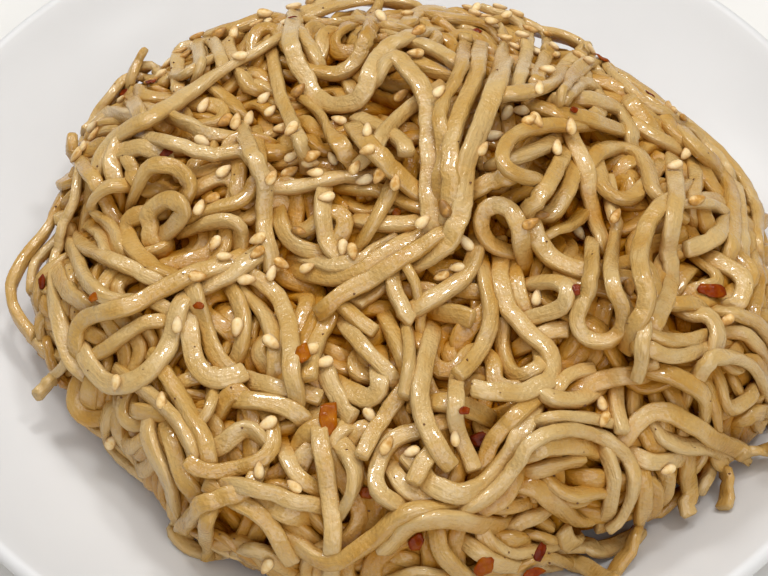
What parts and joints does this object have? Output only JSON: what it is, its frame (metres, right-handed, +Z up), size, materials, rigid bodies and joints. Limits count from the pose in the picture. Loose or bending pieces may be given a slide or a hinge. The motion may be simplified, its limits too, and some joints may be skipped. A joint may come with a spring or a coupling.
{
  "type": "sesame ramen noodles on a plate",
  "caption": "Heap of wavy wheat noodles tossed with toasted sesame seeds and chili flakes, served on a round white coupe plate.",
  "frame": {"origin": "centre of the plate's foot ring, on the surface that the plate stands on", "axes": "+Z up; -Y towards the side from which the dish is served; +X to the right of someone looking along +Y"},
  "size_m": [0.194, 0.194, 0.0515],
  "materials": {
    "glaze": "gloss",
    "noodle": "oily gloss"
  },
  "bodies": {
    "root": {"plate": "glaze", "noodle_heap": "noodle"}
  },
  "joints": []
}
